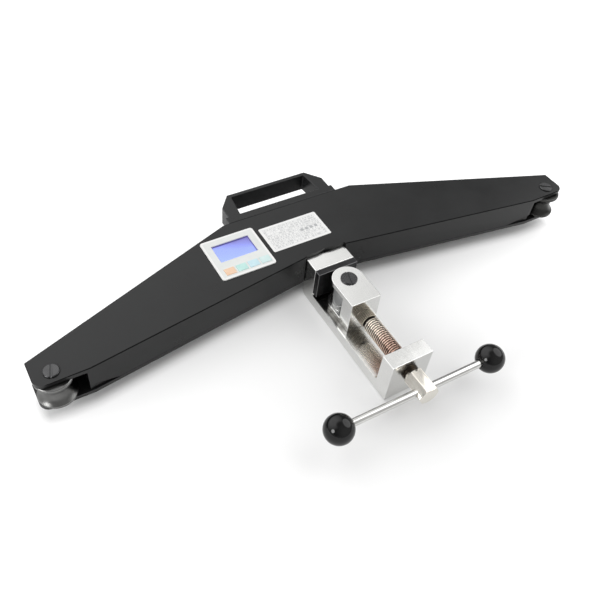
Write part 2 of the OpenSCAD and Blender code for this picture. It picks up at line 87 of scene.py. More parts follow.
# %% [markdown]
# ## Small helpers for finishes
# Every finish is one node tree around a Principled shader. A few helpers keep the trees
# short: one adds a node, one makes grain from noise on Object coordinates, others turn a
# factor into a colour or a number, and one adds a fine bump.

# %% Helpers that build a finish
def new_finish(name, colour, metallic=0.0, roughness=0.5, specular=0.5):
    material = bpy.data.materials.new(name)
    material.use_nodes = True
    tree = material.node_tree
    shader = tree.nodes["Principled BSDF"]
    shader.inputs["Base Color"].default_value = (*colour, 1)
    shader.inputs["Metallic"].default_value = metallic
    shader.inputs["Roughness"].default_value = roughness
    shader.inputs["Specular IOR Level"].default_value = specular
    material.diffuse_color = (*colour, 1)
    return material, tree, shader


def add(tree, kind, **values):
    node = tree.nodes.new(kind)
    for key, value in values.items():
        if key in node.inputs:
            socket = node.inputs[key]
            if hasattr(value, "is_output"):
                tree.links.new(value, socket)
            else:
                socket.default_value = value
        else:
            setattr(node, key, value)
    return node


def where(tree, shift=(0, 0, 0), stretch=(1, 1, 1)):
    coordinates = tree.nodes.new("ShaderNodeTexCoord").outputs["Object"]
    mapping = add(tree, "ShaderNodeMapping", Vector=coordinates)
    mapping.inputs["Location"].default_value = shift
    mapping.inputs["Scale"].default_value = stretch
    return mapping.outputs["Vector"]


def grain(tree, scale, stretch=(1, 1, 1), detail=3.0):
    noise = add(tree, "ShaderNodeTexNoise", Vector=where(tree, stretch=stretch),
                Scale=scale, Detail=detail, Roughness=0.6)
    return noise.outputs["Fac"]


def graded(tree, factor, stops):
    ramp = add(tree, "ShaderNodeValToRGB", Fac=factor)
    points = ramp.color_ramp.elements
    while len(points) < len(stops):
        points.new(0.5)
    for point, (place, colour) in zip(points, stops):
        point.position = place
        point.color = (*colour, 1)
    return ramp.outputs["Color"]


def scaled(tree, factor, low, high, start=0.3, end=0.7):
    ranged = add(tree, "ShaderNodeMapRange", Value=factor)
    limits = {"From Min": start, "From Max": end, "To Min": low, "To Max": high}
    for key, value in limits.items():
        ranged.inputs[key].default_value = value
    return ranged.outputs["Result"]


def maths(tree, operation, a, b=0.0):
    node = tree.nodes.new("ShaderNodeMath")
    node.operation = operation
    for socket, value in zip(node.inputs, (a, b)):
        if hasattr(value, "is_output"):
            tree.links.new(value, socket)
        else:
            socket.default_value = value
    return node.outputs[0]


def mixed(tree, factor, below, above):
    node = add(tree, "ShaderNodeMix", data_type="RGBA")
    pairs = ((node.inputs[0], factor), (node.inputs[6], below), (node.inputs[7], above))
    for socket, value in pairs:
        if hasattr(value, "is_output"):
            tree.links.new(value, socket)
        else:
            socket.default_value = (*value, 1) if isinstance(value, tuple) else value
    return node.outputs[2]


def raised(tree, shader, height, strength, distance):
    bump = add(tree, "ShaderNodeBump", Height=height, Strength=strength, Distance=distance)
    tree.links.new(bump.outputs["Normal"], shader.inputs["Normal"])


def edge_wear(tree):
    return add(tree, "ShaderNodeAttribute", attribute_name="edge").outputs["Fac"]


print("finish helpers ready")

# %% [markdown]
# ## Satin black
# Housing, cover and handle are black anodised aluminium. Such a coat is never one flat
# black: it has a soft cloudy mottling and a fine sandy grain. The edges of the cover and the
# handle are rubbed to a lighter grey, and those of the housing are dull and dark. The
# bevelled copies carry an "edge" attribute that says where the edges are.

# %% Black finishes
COAT_SHINE = 0.34
DULL_SHINE = 0.02


def black_finish(name, deep, cloudy, edge_wear_and_shade, low_gloss, high_gloss, edge_shine=COAT_SHINE):
    material, tree, shader = new_finish(name, deep, roughness=high_gloss, specular=COAT_SHINE)
    clouds = grain(tree, 26, detail=4)
    sand = grain(tree, 1500, detail=2)
    colour = graded(tree, clouds, [(0.35, deep), (0.72, cloudy)])
    rub = maths(tree, "MULTIPLY", edge_wear(tree), scaled(tree, grain(tree, 60), 0.35, 1.0))
    tree.links.new(mixed(tree, rub, colour, edge_wear_and_shade), shader.inputs["Base Color"])
    gloss = scaled(tree, clouds, low_gloss, high_gloss)
    tree.links.new(gloss, shader.inputs["Roughness"])
    shine = scaled(tree, edge_wear(tree), COAT_SHINE, edge_shine, 0, 1)
    tree.links.new(shine, shader.inputs["Specular IOR Level"])
    raised(tree, shader, sand, 0.10, 0.0002)
    return material


housing_black = black_finish("housing_black", (0.0085, 0.0088, 0.009), (0.0122, 0.0126, 0.0129),
                             (0.006, 0.006, 0.006), 0.27, 0.33, edge_shine=DULL_SHINE)
cover_black = black_finish("cover_black", (0.0085, 0.0085, 0.0088), (0.0122, 0.0122, 0.0126),
                           (0.10, 0.10, 0.103), 0.28, 0.36)
handle_black = black_finish("handle_black", (0.010, 0.0103, 0.0106), (0.014, 0.0144, 0.0149),
                            (0.045, 0.045, 0.047), 0.26, 0.33)
print("black finishes:", [m.name for m in (housing_black, cover_black, handle_black)])

# %% [markdown]
# ## Bare and plated metals
# The clamp is satin nickel with fine grinding lines, its roller is polished, the end rollers
# are darker, and the bar is chrome. The right end roller is the same steel painted much darker
# as shade. They share one recipe: full metal, a slightly uneven colour, and streaks that
# change the gloss. The streak is given as the scale of its noise along X, Y and Z, and a
# small scale makes a long streak.

# %% Metal finishes
def metal_finish(name, dull, bright, low_gloss, high_gloss, streak, lift=0.04, edge_wear_and_shade=None):
    material, tree, shader = new_finish(name, bright, metallic=1.0, roughness=high_gloss)
    lines = grain(tree, 1.0, stretch=streak, detail=5)
    smudge = grain(tree, 45, detail=3)
    colour = graded(tree, smudge, [(0.3, dull), (0.7, bright)])
    if edge_wear_and_shade:
        colour = mixed(tree, edge_wear(tree), colour, edge_wear_and_shade)
    tree.links.new(colour, shader.inputs["Base Color"])
    gloss = maths(tree, "ADD", scaled(tree, lines, low_gloss, high_gloss),
                  scaled(tree, smudge, -0.02, 0.03))
    tree.links.new(gloss, shader.inputs["Roughness"])
    raised(tree, shader, lines, lift, 0.0003)
    return material


def nickel_finish(name):
    return metal_finish(name, (0.80, 0.80, 0.785), (0.86, 0.86, 0.845),
                        0.17, 0.24, (900, 90, 900), lift=0.01, edge_wear_and_shade=(0.94, 0.94, 0.93))


TURNED = (120, 120, 2200)

clamp_nickel = nickel_finish("clamp_nickel")
frame_nickel = nickel_finish("frame_nickel")
polished_steel = metal_finish("polished_steel", (0.27, 0.275, 0.275), (0.36, 0.365, 0.365),
                              0.12, 0.18, TURNED, lift=0.02, edge_wear_and_shade=(0.5, 0.5, 0.5))
roller_steel = metal_finish("roller_steel", (0.125, 0.125, 0.122), (0.19, 0.19, 0.186),
                            0.28, 0.38, TURNED, lift=0.03, edge_wear_and_shade=(0.30, 0.30, 0.296))
# the same steel as the left roller, painted much darker as shade
roller_painted_shade = metal_finish("roller_painted_shade", (0.035, 0.035, 0.034), (0.06, 0.06, 0.058),
                            0.26, 0.36, TURNED, lift=0.03, edge_wear_and_shade=(0.10, 0.10, 0.098))
# pins: edges round the head and in the slot are painted darker than the face, as shade
pin_dark = metal_finish("pin_dark", (0.075, 0.075, 0.076), (0.105, 0.105, 0.107),
                        0.24, 0.36, (900, 900, 900), edge_wear_and_shade=(0.045, 0.045, 0.047))
bar_chrome = metal_finish("bar_chrome", (0.64, 0.635, 0.62), (0.72, 0.715, 0.70),
                          0.07, 0.13, (40, 1500, 1500), lift=0.02)
fastener_steel = metal_finish("fastener_steel", (0.20, 0.20, 0.21), (0.32, 0.32, 0.33),
                              0.30, 0.42, (700, 700, 700), edge_wear_and_shade=(0.6, 0.6, 0.61))
pad_black = metal_finish("pad_black", (0.030, 0.030, 0.031), (0.052, 0.052, 0.054),
                         0.30, 0.45, (80, 900, 900), edge_wear_and_shade=(0.22, 0.22, 0.225))
cell_aluminium = metal_finish("cell_aluminium", (0.58, 0.59, 0.60), (0.68, 0.69, 0.70),
                              0.30, 0.42, (60, 900, 900))
brass = metal_finish("brass", (0.50, 0.34, 0.13), (0.62, 0.43, 0.19),
                     0.22, 0.34, (300, 300, 1800))
print("metal finishes: nickel, steel, dark pin, chrome, fasteners, pad, aluminium, brass")

# %% [markdown]
# The slider runs on the floor of the clamp frame, and beside the jaw a dark patch of painted shade lies on
# it.
# Three masks find that place: the height of the floor, a margin to its sides, and the length.

# %% Painted shade on the clamp's floor
FLOOR_TOP = 13.6 * MM
FRAME_HALF = 24 * MM
PAINTED_SHADE_FULL = -45 * MM
PAINTED_SHADE_END = -70 * MM


def painted_floor_shade(material, shade_colour):
    tree = material.node_tree
    shader = tree.nodes["Principled BSDF"]
    clean = shader.inputs["Base Color"].links[0].from_socket
    axes = add(tree, "ShaderNodeSeparateXYZ", Vector=where(tree))
    off_floor = maths(tree, "ABSOLUTE", maths(tree, "SUBTRACT", axes.outputs["Z"], FLOOR_TOP))
    on_floor = scaled(tree, off_floor, 1, 0, 0.2 * MM, 0.4 * MM)
    aside = maths(tree, "ABSOLUTE", axes.outputs["X"])
    between = scaled(tree, aside, 1, 0, FRAME_HALF - 2.0 * MM, FRAME_HALF - 0.9 * MM)
    near_jaw = scaled(tree, axes.outputs["Y"], 0, 1, PAINTED_SHADE_END, PAINTED_SHADE_FULL)
    patchy = scaled(tree, grain(tree, 160), 0.75, 1.0)
    # the dark patch is painted shade on the floor beside the jaw
    shaded_place = maths(tree, "MULTIPLY", maths(tree, "MULTIPLY", on_floor, between),
                maths(tree, "MULTIPLY", near_jaw, patchy))
    tree.links.new(mixed(tree, shaded_place, clean, shade_colour), shader.inputs["Base Color"])


# painted shade colour on the clamp's floor
painted_floor_shade(frame_nickel, (0.11, 0.105, 0.095))
print("grease on the clamp's floor, up to", round(-PAINTED_SHADE_END / MM), "mm from the jaw")

# %% [markdown]
# The screw changes colour along its length: bright and slightly golden beside the slider,
# copper brown towards the end block, where oil and dirt stay in the thread, and cream silver
# on the hexagon. Right beside the hexagon it is painted almost black as shadow. A ramp over
# the Y coordinate gives that, and noise breaks it up. The "groove" attribute of the thread
# paints shade into its root, and the neck at the collar is painted dark as shade too.

# %% The screw's finish
HEXAGON_END = -168 * MM
COLLAR_END = -53 * MM


def screw_finish(name):
    material, tree, shader = new_finish(name, (0.5, 0.42, 0.33), metallic=1.0, roughness=0.3)
    axes = add(tree, "ShaderNodeSeparateXYZ", Vector=where(tree))
    along = scaled(tree, axes.outputs["Y"], 0, 1, HEXAGON_END, COLLAR_END)
    wander = maths(tree, "ADD", along, scaled(tree, grain(tree, 120), -0.05, 0.05))
    colour = graded(tree, wander, [
        (0.00, (0.86, 0.83, 0.76)),
        (0.235, (0.84, 0.80, 0.73)),
        # painted shadow right beside the hexagon
        (0.25, (0.04, 0.035, 0.03)),
        (0.30, (0.10, 0.08, 0.06)),
        (0.445, (0.46, 0.30, 0.24)),
        (0.62, (0.68, 0.49, 0.40)),
        (0.74, (0.86, 0.74, 0.63)),
        (0.84, (0.92, 0.86, 0.76)),
        (1.00, (0.90, 0.84, 0.74))])
    colour = mixed(tree, edge_wear(tree), colour, (0.92, 0.89, 0.83))
    # painted shade in the root of the thread
    groove = add(tree, "ShaderNodeAttribute", attribute_name="groove").outputs["Fac"]
    root = scaled(tree, groove, 0, 1, 0.12, 0.62)
    colour = mixed(tree, root, colour, (0.035, 0.02, 0.014))
    # painted shade in the neck at the collar
    neck = scaled(tree, along, 0, 1, 0.878, 0.886)
    colour = mixed(tree, neck, colour, (0.02, 0.016, 0.013))
    tree.links.new(colour, shader.inputs["Base Color"])
    lines = grain(tree, 1.0, stretch=(700, 60, 700), detail=4)
    tree.links.new(scaled(tree, lines, 0.16, 0.24), shader.inputs["Roughness"])
    raised(tree, shader, lines, 0.01, 0.0002)
    return material


screw_steel = screw_finish("screw_steel")
# The collar and its ridges are one steel: the body is painted dark as shade, the ridges bright as
# highlights.
collar_painted_shade = metal_finish("collar_painted_shade", (0.03, 0.026, 0.021), (0.055, 0.047, 0.038),
                           0.30, 0.42, (700, 60, 700), edge_wear_and_shade=(0.55, 0.49, 0.40))
collar_painted_highlight = metal_finish("collar_painted_highlight", (0.42, 0.38, 0.31), (0.60, 0.54, 0.44),
                             0.10, 0.18, (700, 60, 700), lift=0.02)
print("screw finish runs from the hexagon to the collar")

# %% [markdown]
# ## Plastics
# The ball knobs are moulded glossy plastic with a barely uneven skin. The keys are soft matt
# caps in four pale colours. The battery pack inside the housing gets the same kind of finish,
# because the assembly can be opened.

# %% Plastic finishes
def plastic_finish(name, deep, light, low_gloss, high_gloss,
                   spots=40, skin=600, lift=0.03, specular=0.5):
    material, tree, shader = new_finish(name, light, roughness=high_gloss, specular=specular)
    patches = grain(tree, spots, detail=3)
    colour = graded(tree, patches, [(0.3, deep), (0.7, light)])
    tree.links.new(colour, shader.inputs["Base Color"])
    tree.links.new(scaled(tree, patches, low_gloss, high_gloss), shader.inputs["Roughness"])
    raised(tree, shader, grain(tree, skin, detail=2), lift, 0.0002)
    return material


def key_finish(name, deep, light):
    return plastic_finish(name, deep, light, 0.4, 0.5, spots=180, skin=2500)


ball_black = plastic_finish("ball_black", (0.003, 0.003, 0.0031), (0.005, 0.005, 0.0052),
                            0.08, 0.13, spots=80, skin=500, lift=0.01, specular=0.36)
battery = plastic_finish("battery", (0.03, 0.08, 0.22), (0.05, 0.12, 0.30), 0.4, 0.55)
key_orange = key_finish("key_orange", (0.80, 0.53, 0.35), (0.84, 0.62, 0.46))
key_teal = key_finish("key_teal", (0.44, 0.70, 0.66), (0.54, 0.78, 0.74))
key_cyan = key_finish("key_cyan", (0.50, 0.70, 0.77), (0.58, 0.76, 0.82))
key_grey = key_finish("key_grey", (0.57, 0.73, 0.72), (0.66, 0.79, 0.78))
print("plastic finishes: balls, battery, four keys")

# %% [markdown]
# ## Display panel, screen and label
# The panel is an off-white film with a brighter rim. The screen behind its window glows
# violet above and blue below. The label is a white film with a ruled table, rows of dashes
# and four grey boxes, and it carries no words. Each pattern is centred on its own piece with a
# Mapping node, and simple maths on the coordinates gives distances to the rim and the lines.

# %% Panel finish with a bright rim
def middle_of(node):
    low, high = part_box(node)
    return (low + high) / 2, (high - low) / 2


def rim_distance(tree, node):
    centre, half = middle_of(node)
    axes = add(tree, "ShaderNodeSeparateXYZ", Vector=where(tree, shift=tuple(-centre)))
    across = maths(tree, "SUBTRACT", half.x, maths(tree, "ABSOLUTE", axes.outputs["X"]))
    along = maths(tree, "SUBTRACT", half.y, maths(tree, "ABSOLUTE", axes.outputs["Y"]))
    return maths(tree, "MINIMUM", across, along), axes


def panel_finish():
    material, tree, shader = new_finish("panel_white", (0.80, 0.80, 0.76), roughness=0.5)
    inside = rim_distance(tree, "display_panel")[0]
    step = scaled(tree, inside, 0, 1, 2.2 * MM, 2.6 * MM)
    tint = graded(tree, grain(tree, 60), [(0.3, (0.69, 0.708, 0.69)),
                                          (0.7, (0.74, 0.758, 0.742))])
    tree.links.new(mixed(tree, step, (0.82, 0.82, 0.81), tint), shader.inputs["Base Color"])
    tree.links.new(scaled(tree, grain(tree, 400), 0.42, 0.56), shader.inputs["Roughness"])
    raised(tree, shader, maths(tree, "SUBTRACT", grain(tree, 3000), step), 0.15, 0.0002)
    return material


panel_white = panel_finish()
print("panel rim 2.4 mm wide, panel middle", [round(c, 4) for c in middle_of("display_panel")[0]])

# %% [markdown]
# The glow drifts across the screen along a slope. Fine dots stand for its pixels, and it
# darkens towards the rim, where the window's edge shades it.

# %% Screen glow and its window
GLOW_ALONG_Y = -28.0
GLOW_ALONG_X = -9.0


def screen_finish():
    material, tree, shader = new_finish("screen_blue", (0.2, 0.2, 0.7), roughness=0.35)
    inside, axes = rim_distance(tree, "lcd_module")
    drift = maths(tree, "ADD", maths(tree, "MULTIPLY", axes.outputs["Y"], GLOW_ALONG_Y),
                  maths(tree, "MULTIPLY", axes.outputs["X"], GLOW_ALONG_X))
    glow = maths(tree, "ADD", maths(tree, "ADD", drift, 0.5),
                 scaled(tree, grain(tree, 70), -0.06, 0.06))
    colour = graded(tree, glow, [(0.05, (0.30, 0.28, 0.53)), (0.45, (0.43, 0.49, 0.78)),
                                 (0.95, (0.46, 0.54, 0.75))])
    dots = add(tree, "ShaderNodeTexVoronoi", Vector=where(tree), Scale=1400.0)
    colour = mixed(tree, scaled(tree, dots.outputs["Distance"], 0.0, 0.10, 0.2, 0.8),
                   colour, (0.26, 0.27, 0.55))
    shade = scaled(tree, inside, 1.0, 0.0, 1.2 * MM, 3.0 * MM)
    colour = mixed(tree, shade, colour, (0.10, 0.08, 0.30))
    tree.links.new(colour, shader.inputs["Base Color"])
    tree.links.new(colour, shader.inputs["Emission Color"])
    shader.inputs["Emission Strength"].default_value = 0.62
    return material


def window_finish():
    material, tree, shader = new_finish("window_clear", (0.93, 0.94, 1.0), roughness=0.06)
    shader.inputs["Transmission Weight"].default_value = 1.0
    shader.inputs["IOR"].default_value = 1.3
    tree.links.new(scaled(tree, grain(tree, 90), 0.02, 0.09), shader.inputs["Roughness"])
    return material


screen_blue = screen_finish()
window_clear = window_finish()
print("screen glow from violet to blue")

# %% [markdown]
# Three patterns make the label: a ruled table with two upright posts, one row of dashes in
# each line of the table, cut from noise, and a row of four boxes. Each is a factor between
# paper and ink.

# %% Patterns of the label
ROW = 3.2 * MM
DASH_SCALE = 620.0
ROW_STEP = 7.3
POSTS = (-12 * MM, 14 * MM)
MARGIN = 2.8 * MM
BOX_HALF_PITCH = 2.9 * MM
BOX_ROW_Y = -1.0 * MM
BOX_MIDDLE_X = 17.2 * MM
BOX_HALF_SPAN = 11.6 * MM


def away_from(tree, coordinate, place):
    return maths(tree, "ABSOLUTE", maths(tree, "SUBTRACT", coordinate, place))


def ruled_table(tree, axes, rows, inside):
    lines = scaled(tree, rows, 1, 0, 0.10 * MM, 0.26 * MM)
    for post in POSTS:
        post_line = scaled(tree, away_from(tree, axes.outputs["X"], post), 1, 0, 0.12 * MM, 0.30 * MM)
        lines = maths(tree, "MAXIMUM", lines, post_line)
    table = maths(tree, "MULTIPLY", lines, scaled(tree, inside, 0, 1, MARGIN, MARGIN + 0.2 * MM))
    return maths(tree, "MULTIPLY", table, scaled(tree, grain(tree, 220), 0.45, 0.8))


def dash_rows(tree, axes, from_foot, rows, inside):
    row = maths(tree, "FLOOR", maths(tree, "DIVIDE", from_foot, ROW))
    spot = add(tree, "ShaderNodeCombineXYZ")
    tree.links.new(maths(tree, "MULTIPLY", axes.outputs["X"], DASH_SCALE), spot.inputs["X"])
    tree.links.new(maths(tree, "MULTIPLY", row, ROW_STEP), spot.inputs["Y"])
    noise = add(tree, "ShaderNodeTexNoise", Vector=spot.outputs[0], Scale=1.0, Detail=1.0)
    strokes = scaled(tree, noise.outputs["Fac"], 0, 1, 0.46, 0.54)
    dashes = maths(tree, "MULTIPLY", strokes, scaled(tree, rows, 0, 1, 0.6 * MM, 0.9 * MM))
    return maths(tree, "MULTIPLY", dashes, scaled(tree, inside, 0, 0.55, MARGIN, MARGIN + 0.6 * MM))


def grey_boxes(tree, axes):
    columns = maths(tree, "PINGPONG", maths(tree, "ADD", axes.outputs["X"], 0.2 * MM), BOX_HALF_PITCH)
    across = scaled(tree, columns, 0, 1, 1.1 * MM, 1.3 * MM)
    upright = scaled(tree, away_from(tree, axes.outputs["Y"], BOX_ROW_Y), 1, 0, 1.7 * MM, 1.9 * MM)
    span = away_from(tree, axes.outputs["X"], BOX_MIDDLE_X)
    within = scaled(tree, span, 0.85, 0, BOX_HALF_SPAN, BOX_HALF_SPAN + 0.2 * MM)
    return maths(tree, "MULTIPLY", maths(tree, "MULTIPLY", across, upright), within)


print("label patterns ready, posts:", len(POSTS))

# %% Label finish
def label_finish():
    material, tree, shader = new_finish("label_white", (0.86, 0.86, 0.85), roughness=0.45)
    inside, axes = rim_distance(tree, "data_label")
    half = middle_of("data_label")[1]
    from_foot = maths(tree, "ADD", axes.outputs["Y"], half.y)
    rows = maths(tree, "PINGPONG", from_foot, ROW / 2)
    ink = ruled_table(tree, axes, rows, inside)
    ink = maths(tree, "MAXIMUM", ink, dash_rows(tree, axes, from_foot, rows, inside))
    ink = maths(tree, "MAXIMUM", ink, grey_boxes(tree, axes))
    paper = graded(tree, grain(tree, 80), [(0.3, (0.78, 0.78, 0.772)), (0.7, (0.83, 0.83, 0.822))])
    tree.links.new(mixed(tree, ink, paper, (0.34, 0.35, 0.36)), shader.inputs["Base Color"])
    tree.links.new(scaled(tree, grain(tree, 500), 0.36, 0.5), shader.inputs["Roughness"])
    return material


label_white = label_finish()
print("label ruled every", round(ROW / MM, 1), "mm")

# %% [markdown]
# The circuit board is a green laminate with round solder pads in the cells of a Voronoi noise.

# %% Circuit board finish
def board_finish():
    material, tree, shader = new_finish("board_green", (0.02, 0.14, 0.06), roughness=0.4)
    pads = add(tree, "ShaderNodeTexVoronoi", Vector=where(tree), Scale=240.0)
    mask = scaled(tree, pads.outputs["Distance"], 0.0, 1.0, 0.16, 0.2)
    laminate = graded(tree, grain(tree, 90), [(0.3, (0.012, 0.09, 0.04)), (0.7, (0.02, 0.14, 0.06))])
    tree.links.new(mixed(tree, mask, (0.55, 0.48, 0.28), laminate), shader.inputs["Base Color"])
    tree.links.new(scaled(tree, grain(tree, 300), 0.3, 0.5), shader.inputs["Roughness"])
    return material


board_green = board_finish()
print("board finish with round solder pads")

# %% [markdown]
# ## Edges that catch the light
# A CAD solid has mathematically sharp edges, which no real edge has. A copy of a node is
# merged, its flat triangles are joined into whole faces, and a Bevel modifier rounds its
# edges. Where short edges crowd, the modifier's clamp would narrow every bevel of the piece,
# so there only the long edges get a bevel weight and the clamp is off. Widths and lengths are
# in millimetres. The bevel's faces get a material index of their own, which is then turned
# into the "edge" attribute that the finishes read.

# %% Make a bevelled copy of a node
MERGE_DISTANCE = 2e-6
FLAT_ANGLE = math.radians(0.4)
CREASE_ANGLE = math.radians(12)
EDGE_ANGLE = math.radians(33)

bodies = frame["record"]["behaviour"]["bodies"]
body_of_node = {node: body for body, names in bodies.items() for node in names}


def plain_mesh(piece):
    graph = bpy.context.evaluated_depsgraph_get()
    mesh = bpy.data.meshes.new_from_object(piece.evaluated_get(graph), depsgraph=graph)
    piece.modifiers.clear()
    old = piece.data
    piece.data = mesh
    bpy.data.meshes.remove(old)
    return mesh


def merged_copy(node, join=True):
    mesh = bpy.data.meshes.new(node + "_dressed")
    shape = bmesh.new()
    shape.from_mesh(nodes[node].data)
    bmesh.ops.remove_doubles(shape, verts=shape.verts[:], dist=MERGE_DISTANCE)
    if join:
        bmesh.ops.dissolve_limit(shape, angle_limit=FLAT_ANGLE,
                                 verts=shape.verts[:], edges=shape.edges[:])
    for face in shape.faces:
        face.smooth = True
        face.material_index = 0
    for edge in shape.edges:
        edge.smooth = True
    shape.to_mesh(mesh)
    shape.free()
    for layer in ("custom_normal", "sharp_edge", "sharp_face"):
        if layer in mesh.attributes:
            mesh.attributes.remove(mesh.attributes[layer])
    return mesh


def new_piece(name, mesh):
    piece = bpy.data.objects.new(name, mesh)
    scene.collection.objects.link(piece)
    return piece


def mark_edges(mesh, finish):
    edge = mesh.attributes.new("edge", "FLOAT", "FACE")
    edge.data.foreach_set("value", [float(face.material_index) for face in mesh.polygons])
    mesh.polygons.foreach_set("material_index", [0] * len(mesh.polygons))
    mesh.materials.clear()
    mesh.materials.append(finish)


def weigh_long_edges(mesh, shortest):
    shape = bmesh.new()
    shape.from_mesh(mesh)
    weight = shape.edges.layers.float.new("bevel_weight_edge")
    for edge in shape.edges:
        long_enough = edge.calc_length() > shortest * MM
        if long_enough and edge.calc_face_angle(0) > EDGE_ANGLE:
            edge[weight] = 1
    shape.to_mesh(mesh)
    shape.free()


def round_edges(piece, finish, width, segments=2, shortest=0):
    if shortest:
        weigh_long_edges(piece.data, shortest)
    piece.data.materials.append(finish)
    piece.data.materials.append(finish)
    bevel = piece.modifiers.new("edges", "BEVEL")
    bevel.width = width * MM
    bevel.segments = segments
    bevel.loop_slide = False
    bevel.limit_method = "WEIGHT" if shortest else "ANGLE"
    bevel.use_clamp_overlap = not shortest
    bevel.angle_limit = EDGE_ANGLE
    bevel.material = 1
    mark_edges(plain_mesh(piece), finish)
    piece.data.set_sharp_from_angle(angle=CREASE_ANGLE)


def hand_over(piece, node):
    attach(piece, body_of_node[node])
    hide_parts(node)
    print(piece.name, len(piece.data.polygons), "faces")


def dressed(node, finish, width, segments=2, shortest=0):
    piece = new_piece(node + "_dressed", merged_copy(node))
    round_edges(piece, finish, width, segments, shortest)
    hand_over(piece, node)


print("edge helpers ready")

# %% [markdown]
# ## Housing, cover and handle
# These are milled plates, so their edges are broken by half a millimetre to almost one. On
# the housing the bevel shows as the thin dark line that runs along its rim.

# %% Dress the black pieces
dressed("housing", housing_black, 0.8, shortest=20)
dressed("base_cover", cover_black, 0.45)
dressed("handle", handle_black, 0.8, segments=3)

# %% [markdown]
# ## Clamp
# The frame and the slider are milled, ground and nickel plated, with edges broken by about
# half a millimetre. The pad and the pins are dark steel.

# %% Dress the clamp's pieces
dressed("clamp_frame", frame_nickel, 0.6, segments=3, shortest=8)
dressed("slider_block", clamp_nickel, 0.5, segments=3)
dressed("jaw_pad", pad_black, 0.4, shortest=5)
for pin in ("left_roller_pin", "right_roller_pin", "slider_pin"):
    dressed(pin, pin_dark, 0.35)
dressed("clamp_roller", polished_steel, 0.5, segments=3)
dressed("left_roller", roller_steel, 0.3)
dressed("right_roller", roller_painted_shade, 0.3)

# %% [markdown]
# ## Panel, keys and label
# The overlay and the label are thin films, so their edges are only just broken. The keys are
# soft caps with a rim of three bevel segments. The solid leaves a running gap round each key,
# which would show as a dark frame, so the panel's copy comes closer to the caps.

# %% Dress the display's pieces
KEYS = (("key_1", key_orange), ("key_2", key_teal), ("key_3", key_cyan), ("key_4", key_grey))
KEY_GAP = 0.08 * MM
RIM_REACH = 0.5 * MM


def middle_of_key(key):
    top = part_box(key)[1].z
    cap = [v.co for v in nodes[key].data.vertices if v.co.z > top - RIM_REACH]
    low = Vector((min(c.x for c in cap), min(c.y for c in cap), 0))
    high = Vector((max(c.x for c in cap), max(c.y for c in cap), 0))
    return (low + high) / 2, (high - low) / 2


def close_key_gap(mesh, key):
    centre, half = middle_of_key(key)
    moved = 0
    for vertex in mesh.vertices:
        away = vertex.co - centre
        if abs(away.x) < half.x + RIM_REACH and abs(away.y) < half.y + RIM_REACH:
            vertex.co.x = centre.x + math.copysign(half.x + KEY_GAP, away.x)
            vertex.co.y = centre.y + math.copysign(half.y + KEY_GAP, away.y)
            moved += 1
    return moved


panel = new_piece("display_panel_dressed", merged_copy("display_panel", join=False))
print("panel points moved to the keys:", sum(close_key_gap(panel.data, key) for key, _ in KEYS))
round_edges(panel, panel_white, 0.2)
hand_over(panel, "display_panel")
dressed("data_label", label_white, 0.12)
for key, finish in KEYS:
    dressed(key, finish, 0.35, segments=3)

# %% [markdown]
# ## Geometry Nodes: a small kit
# Thread, knurl and screws repeat by a rule, so Geometry Nodes make them. Each rule is a node
# tree with named inputs. The result becomes a plain mesh before it joins a moving body.

# %% Helpers for rules
RULE_CREASE = math.radians(40)


def new_rule(name, inputs):
    rule = bpy.data.node_groups.new(name, "GeometryNodeTree")
    rule.interface.new_socket(name="Geometry", in_out="OUTPUT", socket_type="NodeSocketGeometry")
    keys = {}
    for label, kind in inputs.items():
        kind = "NodeSocket" + kind
        socket = rule.interface.new_socket(name=label, in_out="INPUT", socket_type=kind)
        keys[label] = socket.identifier
    given = rule.nodes.new("NodeGroupInput").outputs
    result = rule.nodes.new("NodeGroupOutput").inputs[0]
    return rule, given, result, keys


def end_rule(rule, geometry, finish, result):
    realized = add(rule, "GeometryNodeRealizeInstances", Geometry=geometry)
    smooth = add(rule, "GeometryNodeSetShadeSmooth", Geometry=realized.outputs[0])
    coated = add(rule, "GeometryNodeSetMaterial", Geometry=smooth.outputs[0], Material=finish)
    rule.links.new(coated.outputs[0], result)


def grown(name, rule, keys, values, points=()):
    host = bpy.data.meshes.new(name)
    host.from_pydata([tuple(p) for p in points], [], [])
    piece = new_piece(name, host)
    modifier = piece.modifiers.new("rule", "NODES")
    modifier.node_group = rule
    for label, value in values.items():
        modifier[keys[label]] = value
    mesh = plain_mesh(piece)
    mesh.polygons.foreach_set("material_index", [0] * len(mesh.polygons))
    mesh.materials.clear()
    mesh.materials.append(values["Finish"])
    mesh.set_sharp_from_angle(angle=RULE_CREASE)
    print(name, len(mesh.polygons), "faces")
    return piece


print("rule helpers ready")

# %% [markdown]
# ## The screw
# A real thread is a ridge that climbs one pitch in each turn. A grid is rolled into a tube,
# and its radius follows the place along the axis minus the share of a turn, so the ridge runs
# as a true right-hand helix.

# %% Thread rule
SCREW_Z = 33.5 * MM
THREAD_START = -139.4 * MM
THREAD_END = -65.1 * MM
SCREW_RADIUS = 9 * MM
CORE_RADIUS = 7.6 * MM
ROOT_FLAT = 0.12
CREST_FLAT = 0.85

